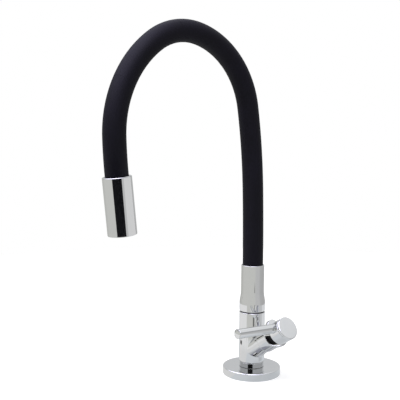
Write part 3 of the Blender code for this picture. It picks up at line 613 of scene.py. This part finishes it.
def make_collar():
    taper_top = COLLAR["base"] + COLLAR["straight"] + COLLAR["taper"]
    top = COLLAR["base"] + COLLAR["height"]
    profile = [(COLLAR["top_radius"], top, COLLAR["lip"])]
    for step in range(CURVE_STEPS + 1):
        share = step / CURVE_STEPS
        radius = COLLAR["top_radius"] + (COLLAR["radius"] - COLLAR["top_radius"]) * swell(share)
        profile.append((radius, taper_top - COLLAR["taper"] * share))
    profile += [
        (COLLAR["radius"], COLLAR["base"], COLLAR["edge"]),
        (COLLAR["bore"], COLLAR["base"]),
        (COLLAR["bore"], COLLAR["bore_top"]),
        (COLLAR["throat"], COLLAR["bore_top"]),
        (COLLAR["throat"], COLLAR["throat_top"]),
        (HOSE_RADIUS + GAP, COLLAR["throat_top"]),
        (HOSE_RADIUS + GAP, top),
    ]
    dress(turned("spout_base", profile), "spout_collar")
    washer = turned("swivel_disc", [
        (WASHER["radius"], WASHER["top"], WASHER["edge"]),
        (WASHER["radius"], WASHER["base"], WASHER["edge"]),
        (WASHER["bore"], WASHER["base"]),
        (WASHER["bore"], WASHER["top"]),
    ])
    dress(washer, "swivel_washer")


make_flange()
make_body()
make_bonnet()
make_handle()
make_collar()


# Geometry Nodes: small trees with named inputs

class Tree(Writer):
    """A Geometry Nodes tree, with named inputs."""

    def __init__(self, name, inputs):
        super().__init__(bpy.data.node_groups.new(name, "GeometryNodeTree"))
        face = self.tree.interface
        face.new_socket("Geometry", in_out="INPUT", socket_type="NodeSocketGeometry")
        self.identifiers = {}
        for label, kind in inputs.items():
            self.identifiers[label] = face.new_socket(label, in_out="INPUT", socket_type=kind).identifier
        face.new_socket("Geometry", in_out="OUTPUT", socket_type="NodeSocketGeometry")
        self.input = self.tree.nodes.new("NodeGroupInput")
        self.output = self.tree.nodes.new("NodeGroupOutput")

    def given(self, label):
        """What comes in under a name."""
        return Val(self, self.input.outputs[label])

    def vector(self, x, y, z):
        return self.result("ShaderNodeCombineXYZ", values=[x, y, z])

    def finish(self, geometry, surface):
        """Ends the tree: instances made real, smooth faces and the finish."""
        real = self.result("GeometryNodeRealizeInstances", values=[geometry])
        smooth = self.result("GeometryNodeSetShadeSmooth", values=[real])
        coated = self.result("GeometryNodeSetMaterial", values={"Geometry": smooth, "Material": surface})
        self.feed(self.output.inputs[0], coated)
        return self

    def grow(self, piece, sizes):
        """Runs the tree on an object, and returns the result as a plain mesh object."""
        modifier = piece.modifiers.new("grow", "NODES")
        modifier.node_group = self.tree
        for label, value in sizes.items():
            modifier[self.identifiers[label]] = value
        piece.update_tag()
        return settle(piece)


def thread_tree():
    """Winds a pointed ridge round the plain shank that comes in."""
    tree = Tree("thread", {
        "Radius": "NodeSocketFloat", "Pitch": "NodeSocketFloat", "Depth": "NodeSocketFloat",
        "Start": "NodeSocketFloat", "Height": "NodeSocketFloat", "Steps": "NodeSocketInt"})
    depth, height, pitch = tree.given("Depth"), tree.given("Height"), tree.given("Pitch")
    point_scale = 2 / 3    # a circle of three points and radius 1 is one and a half high
    ridge_height = depth + depth * THREAD_BURIED
    middle = tree.given("Radius") - ridge_height * point_scale
    winding = tree.result("GeometryNodeCurveSpiral", values={
        "Resolution": tree.given("Steps"), "Rotations": height / pitch,
        "Start Radius": middle, "End Radius": middle, "Height": height})
    upright = tree.result("GeometryNodeSetCurveNormal", dict(mode="Z_UP"), [winding])
    point = tree.result("GeometryNodeCurvePrimitiveCircle", values={"Resolution": 3, "Radius": 1.0})
    shaped = tree.result("GeometryNodeTransform", values={
        "Geometry": point, "Scale": tree.vector(ridge_height * point_scale, pitch * THREAD_WIDTH, 1.0)})
    ridge = tree.result("GeometryNodeCurveToMesh", values={
        "Curve": upright, "Profile Curve": shaped, "Fill Caps": True})
    raised = tree.result("GeometryNodeTransform", values={
        "Geometry": ridge, "Translation": tree.vector(0.0, 0.0, tree.given("Start"))})
    both = tree.node("GeometryNodeJoinGeometry")
    for part in (tree.given("Geometry"), raised):
        tree.feed(both.inputs[0], part)
    return tree.finish(both.outputs[0], BRASS)


def make_shank():
    foot = -SHANK["length"]
    root = SHANK["radius"] - THREAD["depth"]
    tip = SHANK["radius"] - SHANK["chamfer"]
    thread_end = THREAD["start"] + THREAD["height"]
    shank = turned("threaded_shank", [
        (tip, SHANK["top"]),
        (SHANK["radius"], SHANK["top"] - SHANK["chamfer"]),
        (SHANK["radius"], thread_end),
        (root, thread_end - THREAD["depth"]),
        (root, foot + SHANK["lead"]),
        (tip, foot),
        (SHANK["bore"], foot),
        (SHANK["bore"], SHANK["top"]),
    ])
    threaded = thread_tree().grow(shank, {
        "Radius": SHANK["radius"] - THREAD["inset"], "Pitch": THREAD["pitch"], "Depth": THREAD["depth"],
        "Start": THREAD["start"], "Height": THREAD["height"], "Steps": THREAD["steps"]})
    dress(threaded, "inlet_shank")


def make_nut():
    top, foot = NUT["top"], NUT["top"] - NUT["thickness"]
    bore = SHANK["radius"] + GAP
    corner = NUT["chamfer"] * tan(NUT["slope"])
    blank = turned("nut_blank", [
        (NUT["radius"] - NUT["chamfer"], top),
        (NUT["radius"], top - corner),
        (NUT["radius"], foot + corner),
        (NUT["radius"] - NUT["chamfer"], foot),
        (bore, foot),
        (bore, top),
    ])
    prism = turned("nut_prism", [
        (0, top + NUT["spare"]),
        (NUT["radius"] + GAP, top + NUT["spare"]),
        (NUT["radius"] + GAP, foot - NUT["spare"]),
        (0, foot - NUT["spare"]),
    ], NUT["sides"])
    dress(combine(prism, blank, "INTERSECT"), "lock_nut")


def wire_tree():
    """Lays straight wires side by side across a round opening, each as long as its chord."""
    tree = Tree("wire_layer", {
        "Reach": "NodeSocketFloat", "Pitch": "NodeSocketFloat",
        "Wire Radius": "NodeSocketFloat", "Count": "NodeSocketInt"})
    reach, pitch, count = tree.given("Reach"), tree.given("Pitch"), tree.given("Count")
    row = tree.result("GeometryNodeMeshLine", values={
        "Count": count, "Start Location": tree.vector(0.0, (count - 1.0) * pitch * -0.5, 0.0),
        "Offset": tree.vector(0.0, pitch, 0.0)})
    wire = tree.result("GeometryNodeMeshCylinder", values={
        "Vertices": WIRE["sides"], "Radius": tree.given("Wire Radius"), "Depth": 1.0})
    lying = tree.result("GeometryNodeTransform", values={"Geometry": wire, "Rotation": (0, pi / 2, 0)})
    place = tree.result("GeometryNodeInputPosition")
    across = Val(tree, tree.node("ShaderNodeSeparateXYZ", values=[place]).outputs["Y"])
    chord = (reach * reach - across * across).math("SQRT") * 2.0
    laid = tree.result("GeometryNodeInstanceOnPoints", values={
        "Points": row, "Instance": lying, "Scale": tree.vector(chord, 1.0, 1.0)})
    return tree.finish(laid, STEEL)


def hose_tree():
    """Draws a round skin along the curve that comes in."""
    tree = Tree("hose_skin", {"Radius": "NodeSocketFloat", "Sides": "NodeSocketInt"})
    ring = tree.result("GeometryNodeCurvePrimitiveCircle", values={
        "Resolution": tree.given("Sides"), "Radius": tree.given("Radius")})
    skin = tree.result("GeometryNodeCurveToMesh", values={
        "Curve": tree.given("Geometry"), "Profile Curve": ring, "Fill Caps": True})
    return tree.finish(skin, SILICONE)


def path_curve(name, points):
    data = bpy.data.curves.new(name, "CURVE")
    data.dimensions = "3D"
    spline = data.splines.new("POLY")
    spline.points.add(len(points) - 1)
    for target, point in zip(spline.points, points):
        target.co = (*point, 1)
    return add_object(data, name)


def along(start, heading, length, bend, share):
    """The point and the heading at a share of an arc in the plane of the arch."""
    turn = bend * share
    radius = length / bend
    reach = radius * (cos(heading) - cos(heading + turn))
    rise = radius * (sin(heading + turn) - sin(heading))
    return start + Vector((0, -reach, rise)), heading + turn


def direction(heading):
    return Vector((0, -sin(heading), cos(heading)))


def make_hose():
    """One unbroken skin over the six lengths, as five pieces that meet halfway between the flex joints."""
    arcs = []
    joint, heading = Vector((0, 0, HOSE_START)), 0.0
    for length, bend in zip(HOSE_LENGTHS, HOSE_BENDS):
        arcs.append((joint, heading, length, bend))
        joint, heading = along(joint, heading, length, bend, 1)

    def stretch(index, first, last):
        start, lean, length, bend = arcs[index]
        count = max(2, ceil(length * (last - first) / HOSE_STEP))
        return [along(start, lean, length, bend, first + (last - first) * step / count)[0]
                for step in range(count + 1)]

    tree = hose_tree()
    sections = len(arcs) - 1
    for index in range(sections):
        points = stretch(index, 0.5 if index else 0, 1)
        points += stretch(index + 1, 0, 0.5 if index < sections - 1 else 1)[1:]
        if index == 0:
            points.insert(0, arcs[0][0] - direction(0) * (HOSE_INSERTION - HOSE_END_GAP))
        if index == sections - 1:
            points.append(joint + direction(heading) * (HEAD["overlap"] - HOSE_END_GAP))
        skin = tree.grow(path_curve("hose_skin_%d" % (index + 1), points),
                         {"Radius": HOSE_RADIUS, "Sides": HOSE_SIDES})
        skin.data.set_sharp_from_angle(angle=SMOOTH_ANGLE)
        sleeves = ["hose_sleeve_%d" % (index + 1)] + (["hose_sleeve_6"] if index == sections - 1 else [])
        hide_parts(*sleeves)
        before = along(*arcs[index], HOSE_BLEND[0])[0]
        after = along(*arcs[index + 1], HOSE_BLEND[1])[0]
        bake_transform(skin)
    return joint, heading


make_shank()
make_nut()
head_place, head_heading = make_hose()
head_frame = Matrix.Translation(head_place) @ Matrix.Rotation(head_heading, 4, "X")


def make_head():
    shoulder = HEAD["overlap"] + GAP
    bore = HEAD["radius"] - HEAD["wall"]
    shell = turned("outlet_shell", [
        (HEAD["radius"], HEAD["length"], HEAD["edge"]),
        (HEAD["radius"], 0, HEAD["edge"]),
        (HOSE_RADIUS + GAP, 0),
        (HOSE_RADIUS + GAP, shoulder),
        (bore, shoulder),
        (bore, HEAD["length"]),
    ])
    dress(moved(shell, head_frame), "spout_head")
    end = HEAD["length"] - AERATOR["recess"]
    outer = bore - GAP
    inner = outer - AERATOR["wall"]
    housing = turned("outlet_ring", [
        (outer, end, AERATOR["edge"]),
        (outer, end - AERATOR["length"]),
        (inner, end - AERATOR["length"]),
        (inner, end - AERATOR["lip"]),
        (inner - AERATOR["lip"], end - AERATOR["lip"]),
        (inner - AERATOR["lip"], end, AERATOR["edge"]),
    ])
    dress(moved(housing, head_frame), "aerator_housing")

    tree = wire_tree()
    layers = []
    for turn, depth in ((0, -WIRE["radius"]), (pi / 2, WIRE["radius"])):
        layer = tree.grow(add_object(bpy.data.meshes.new("wires"), "wires"), {
            "Reach": WIRE["reach"], "Pitch": WIRE["pitch"], "Count": WIRE["count"],
            "Wire Radius": WIRE["radius"]})
        lift = Matrix.Translation((0, 0, end - AERATOR["lip"] / 2 + depth * WIRE["press"]))
        layers.append(moved(layer, head_frame @ lift @ Matrix.Rotation(turn, 4, "Z")))
    wires = combine(layers[0], layers[1], "UNION")
    wires.name = "outlet_mesh"
    wires.data.shade_smooth()
    wires.data.set_sharp_from_angle(angle=SMOOTH_ANGLE)
    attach(wires, BODY_OF_NODE["aerator_screen"])


make_head()


# Studio: white floor and backdrop for the camera; what the metal mirrors is the room below

CAMERA_PLACE = Vector((553.4, -521.1, 256.5)) * MM
CAMERA_YAW = 0.892308
CAMERA_PITCH = 0.0856389
CAMERA_ROLL = 0.00750157
CAMERA_LENS = 63.0
CAMERA_SENSOR = 36.0

camera_data = bpy.data.cameras.new("camera")
camera_data.lens = CAMERA_LENS
camera_data.sensor_width = CAMERA_SENSOR
camera_data.clip_start = 0.01
camera_data.clip_end = 20.0
camera = add_object(camera_data, "camera")
camera.matrix_world = (
    Matrix.Translation(CAMERA_PLACE) @ Matrix.Rotation(CAMERA_YAW, 4, "Z")
    @ Matrix.Rotation(pi / 2 - CAMERA_PITCH, 4, "X") @ Matrix.Rotation(CAMERA_ROLL, 4, "Z"))
bpy.context.scene.camera = camera

FRONT = Vector((CAMERA_PLACE.x, CAMERA_PLACE.y, 0)).normalized()
SIDE = Vector((-FRONT.y, FRONT.x, 0))
UP = (0, 0, 1)
FLOOR_RADIUS = 900 * MM
FLOOR_THICKNESS = 2 * MM
CARD_CENTRE = Vector((0, -173 * MM, 0))
DARK_CARD = dict(distance=80 * MM, half_width=55 * MM, shift=-4 * MM, low=124 * MM, high=226 * MM)
LIGHT_CARD = dict(distance=80 * MM, half_width=60 * MM, shift=0, low=124 * MM, high=226 * MM)
LAMP_TARGET = Vector((0, -0.05, 0.15))
GREENISH = (1.0, 1.005, 0.965)
BLUISH = (0.965, 0.98, 1.0)
BLUER = (0.942, 0.98, 1.024)
LILAC = (0.93, 0.95, 1.09)
VIOLET = (0.92, 0.9, 1.09)
PLAIN = (1.0, 1.0, 1.0)
ROOM_GREY = (0.62, 0.62, 0.63)
PAPER = (0.8, 0.8, 0.8, 1)
BRANCH_SHADE_PLACE = (36 * MM, 0, 0)
SOFTBOX_DIRECTION = (-0.12, -0.58, 0.806)
FILL_DIRECTION = (0.6, -0.4, 0.69)


def between(value, low, high, soft=0.03):
    """1 where the value lies between two limits, with soft ends."""
    return value.ramp(low - soft, low + soft) * (1 - value.ramp(high - soft, high + soft))


def bearing_of(look, way):
    """The angle round the room, 0 towards the camera's side."""
    return look.measured("DOT_PRODUCT", way, SIDE).math("ARCTAN2", look.measured("DOT_PRODUCT", way, FRONT))


def low_wall_level(bearing, level, darker):
    """How bright the lower wall is: a little less to one side, beside the object, and where darker says."""
    beside = between(bearing, 1.3, 2.1, 0.2)
    return (level - bearing.ramp(0.3, 0.7) * 0.05) * (1 - darker) * (1 - beside * 0.14)


def low_wall_tint(look, bearing):
    return look.mixed(bearing.ramp(0.3, 0.7), GREENISH, PLAIN)


def make_world():
    """What the metal mirrors above the floor; the camera sees plain white."""
    world = bpy.data.worlds.new("room")
    bpy.context.scene.world = world
    world.use_nodes = True
    look = Look(world.node_tree)
    way = look.node("ShaderNodeTexCoord").outputs["Generated"]
    bearing = bearing_of(look, way)
    rise = look.measured("DOT_PRODUCT", way, UP)

    high = rise.ramp(0.13, 0.19)
    low_wall = low_wall_level(bearing, 0.56, bearing.size().ramp(1.7, 2.3) * 0.1)
    ahead = (1 - bearing.size().ramp(2.15, 2.35)) * (1 - rise.ramp(0.4, 0.48))
    window = between(bearing, 1.38, 2.75) * rise.ramp(0.42, 0.52)
    high_wall = 0.58 - ahead * 0.22 + window * 0.17 - rise.ramp(0.78, 0.88) * 0.26
    wall = low_wall * (1 - high) + high_wall * high
    dark_stand = between(bearing, -0.59, 0.21) * high * (1 - rise.ramp(0.4, 0.5))
    low_stand = between(bearing, -2.04, -1.87) * between(rise, -0.03, 0.07, 0.012)
    level = wall * (1 - dark_stand) * (1 - low_stand * 0.95) + dark_stand * 0.006
    tint = look.mixed(high, low_wall_tint(look, bearing), BLUISH)
    tint = look.mixed(rise.ramp(0.78, 0.88), tint, LILAC)

    path = look.node("ShaderNodeLightPath")
    first_bounce = 1 - Val(look, path.outputs["Glossy Depth"]).ramp(1.4, 1.6)
    to_softbox = look.measured("DOT_PRODUCT", way, SOFTBOX_DIRECTION)
    softbox = to_softbox.ramp(0.5, 0.9) * rise.ramp(0.35, 0.65) * 2.1
    to_fill = look.measured("DOT_PRODUCT", way, FILL_DIRECTION)
    fill = to_fill.ramp(0.6, 0.95) * rise.ramp(0.4, 0.65) * 1.6
    ceiling = bearing.size().ramp(2.6, 2.9) * between(rise, 0.65, 0.92, 0.05) * 1.2
    tint = look.mixed((softbox + fill).ramp(0.0, 1.0) * first_bounce, tint, VIOLET)
    level = level + (softbox + fill + ceiling) * first_bounce
    unseen = look.mixed(path.outputs["Is Glossy Ray"], ROOM_GREY, look.scaled(tint, level))
    shown = look.mixed(path.outputs["Is Camera Ray"], unseen, PLAIN)
    look.feed(look.tree.nodes["Background"].inputs["Color"], shown)


def make_floor():
    """Pale paper: the camera sees it white with a soft shadow; for the metal's rays it glows with a painted
    reflection of a table under a panel, with painted shade near the object and under the branch, a painted dark
    spot and painted dark lines.
    """
    floor = turned("floor", [
        (0, 0),
        (FLOOR_RADIUS, 0),
        (FLOOR_RADIUS, -FLOOR_THICKNESS),
        (0, -FLOOR_THICKNESS),
    ])
    made = bpy.data.materials.new("floor")
    made.use_nodes = True
    look = Look(made.node_tree)
    look.tree.nodes.remove(look.tree.nodes["Principled BSDF"])
    point = look.place()
    bearing = bearing_of(look, point)
    reach = look.measured("LENGTH", point)

    left = between(bearing, -2.3, -0.82)
    middle = between(bearing, -0.82, 0.46)
    near = 1 - reach.ramp(0.058, 0.066)
    # painted contact shade: near the object the mirrored floor is 10% darker and bluer
    close = 1 - reach.ramp(0.09, 0.13)
    beyond = middle * reach.ramp(0.14, 0.165) + (1 - middle) * reach.ramp(0.345, 0.37)
    table = 0.71 + left * 0.05 - between(bearing, 1.05, 1.66) * 0.16 * (1 - near)
    # painted shade: a dark spot on the mirrored floor, which the body's left side mirrors as a dark patch
    painted_dark_spot = between(bearing, -2.1, -1.64) * between(reach, 0.122, 0.14, 0.005)
    far_level = low_wall_level(bearing, 0.555, bearing.size().ramp(1.5, 2.5) * 0.18)
    level = table * (1 - close * 0.1) * (1 - painted_dark_spot * 0.9) * (1 - beyond) + far_level * beyond
    table_tint = look.mixed(left, look.mixed(close, BLUISH, BLUER), PLAIN)
    tint = look.mixed(beyond, table_tint, low_wall_tint(look, bearing))

    # painted shade under the branch on the mirrored floor, which glows and so gets no real shadow
    painted_branch_shade = 1 - look.measured("DISTANCE", point, BRANCH_SHADE_PLACE).ramp(0.015, 0.045)
    past_body = reach.ramp(0.275, 0.295)
    # painted dark lines on the mirrored floor, which show as thin dark stripes in the body's and the collar's
    # reflections
    body_dark_line = between(bearing, 0.12, 0.35, 0.04) * reach.ramp(0.13, 0.16) * (1 - past_body)
    collar_dark_line = between(bearing, 0.33, 0.44) * past_body * (1 - reach.ramp(0.47, 0.55))
    dark_lines = body_dark_line * 0.72 + collar_dark_line * 0.6
    mirrored = look.scaled(tint, level * (1 - dark_lines) * (1 - painted_branch_shade * 0.12))

    path = look.node("ShaderNodeLightPath")
    paper = look.result("ShaderNodeBsdfDiffuse", values={"Color": PAPER})
    whitening = look.scaled(PLAIN, 0.46 + reach.ramp(0.1, 0.9) * 0.25)
    lift = look.result("ShaderNodeEmission", values={"Color": whitening})
    lit = look.result("ShaderNodeAddShader", values=[paper, lift])
    # painted reflection: what the metal mirrors of the floor is this glow, not lit paper
    glow = look.result("ShaderNodeEmission", values={"Color": mirrored})
    seen = look.result("ShaderNodeMixShader", values=[path.outputs["Is Glossy Ray"], lit, glow])
    plain = look.result("ShaderNodeMixShader", values=[path.outputs["Is Diffuse Ray"], seen, paper])
    look.feed(look.tree.nodes["Material Output"].inputs["Surface"], plain)
    floor.data.materials.append(made)


def make_card(name, azimuth, size, color, glow):
    """An upright card beside the spout's head that only the metal mirrors. The dark card paints a dark stripe
    into the head's reflection, and the pale one glows to paint a pale patch there.
    """
    away = Vector((cos(azimuth), sin(azimuth), 0))
    across = Vector((-sin(azimuth), cos(azimuth), 0))
    centre = CARD_CENTRE + away * size["distance"]
    corners = []
    for height, sides in ((size["low"], (-1, 1)), (size["high"], (1, -1))):
        for side in sides:
            aside = side * size["half_width"] + size["shift"]
            corners.append(centre + across * aside + Vector((0, 0, height)))
    mesh = bpy.data.meshes.new(name)
    mesh.from_pydata(corners, [], [(0, 1, 2, 3)])
    card = add_object(mesh, name)
    look = Finish(name, {"Base Color": (*color, 1), "Specular IOR Level": 0.0,
                         "Emission Color": (1, 1, 1, 1), "Emission Strength": glow})
    mesh.materials.append(look.material)
    card.visible_camera = False
    card.visible_diffuse = False
    card.visible_shadow = False


def make_lamp(name, place, width, power, color):
    data = bpy.data.lights.new(name, "AREA")
    data.shape = "SQUARE"
    data.size = width
    data.energy = power
    data.color = color
    lamp = add_object(data, name)
    lamp.location = place
    lamp.rotation_euler = (LAMP_TARGET - lamp.location).to_track_quat("-Z", "Y").to_euler()
    lamp.visible_glossy = False
    lamp.visible_camera = False


make_world()
make_floor()
make_card("dark_card", radians(-32.4), DARK_CARD, (0.011, 0.011, 0.013), 0.0)
make_card("light_card", radians(52), LIGHT_CARD, (0, 0, 0), 0.66)
make_lamp("top_softbox", Vector((-0.1, -0.5, 1.25)), 1.1, 8.0, (1.0, 1.0, 1.0))
make_lamp("left_softbox", Vector((-0.5, -1.0, 0.7)), 0.8, 2.5, (0.97, 0.98, 1.0))

bpy.context.scene.view_settings.view_transform = "Standard"
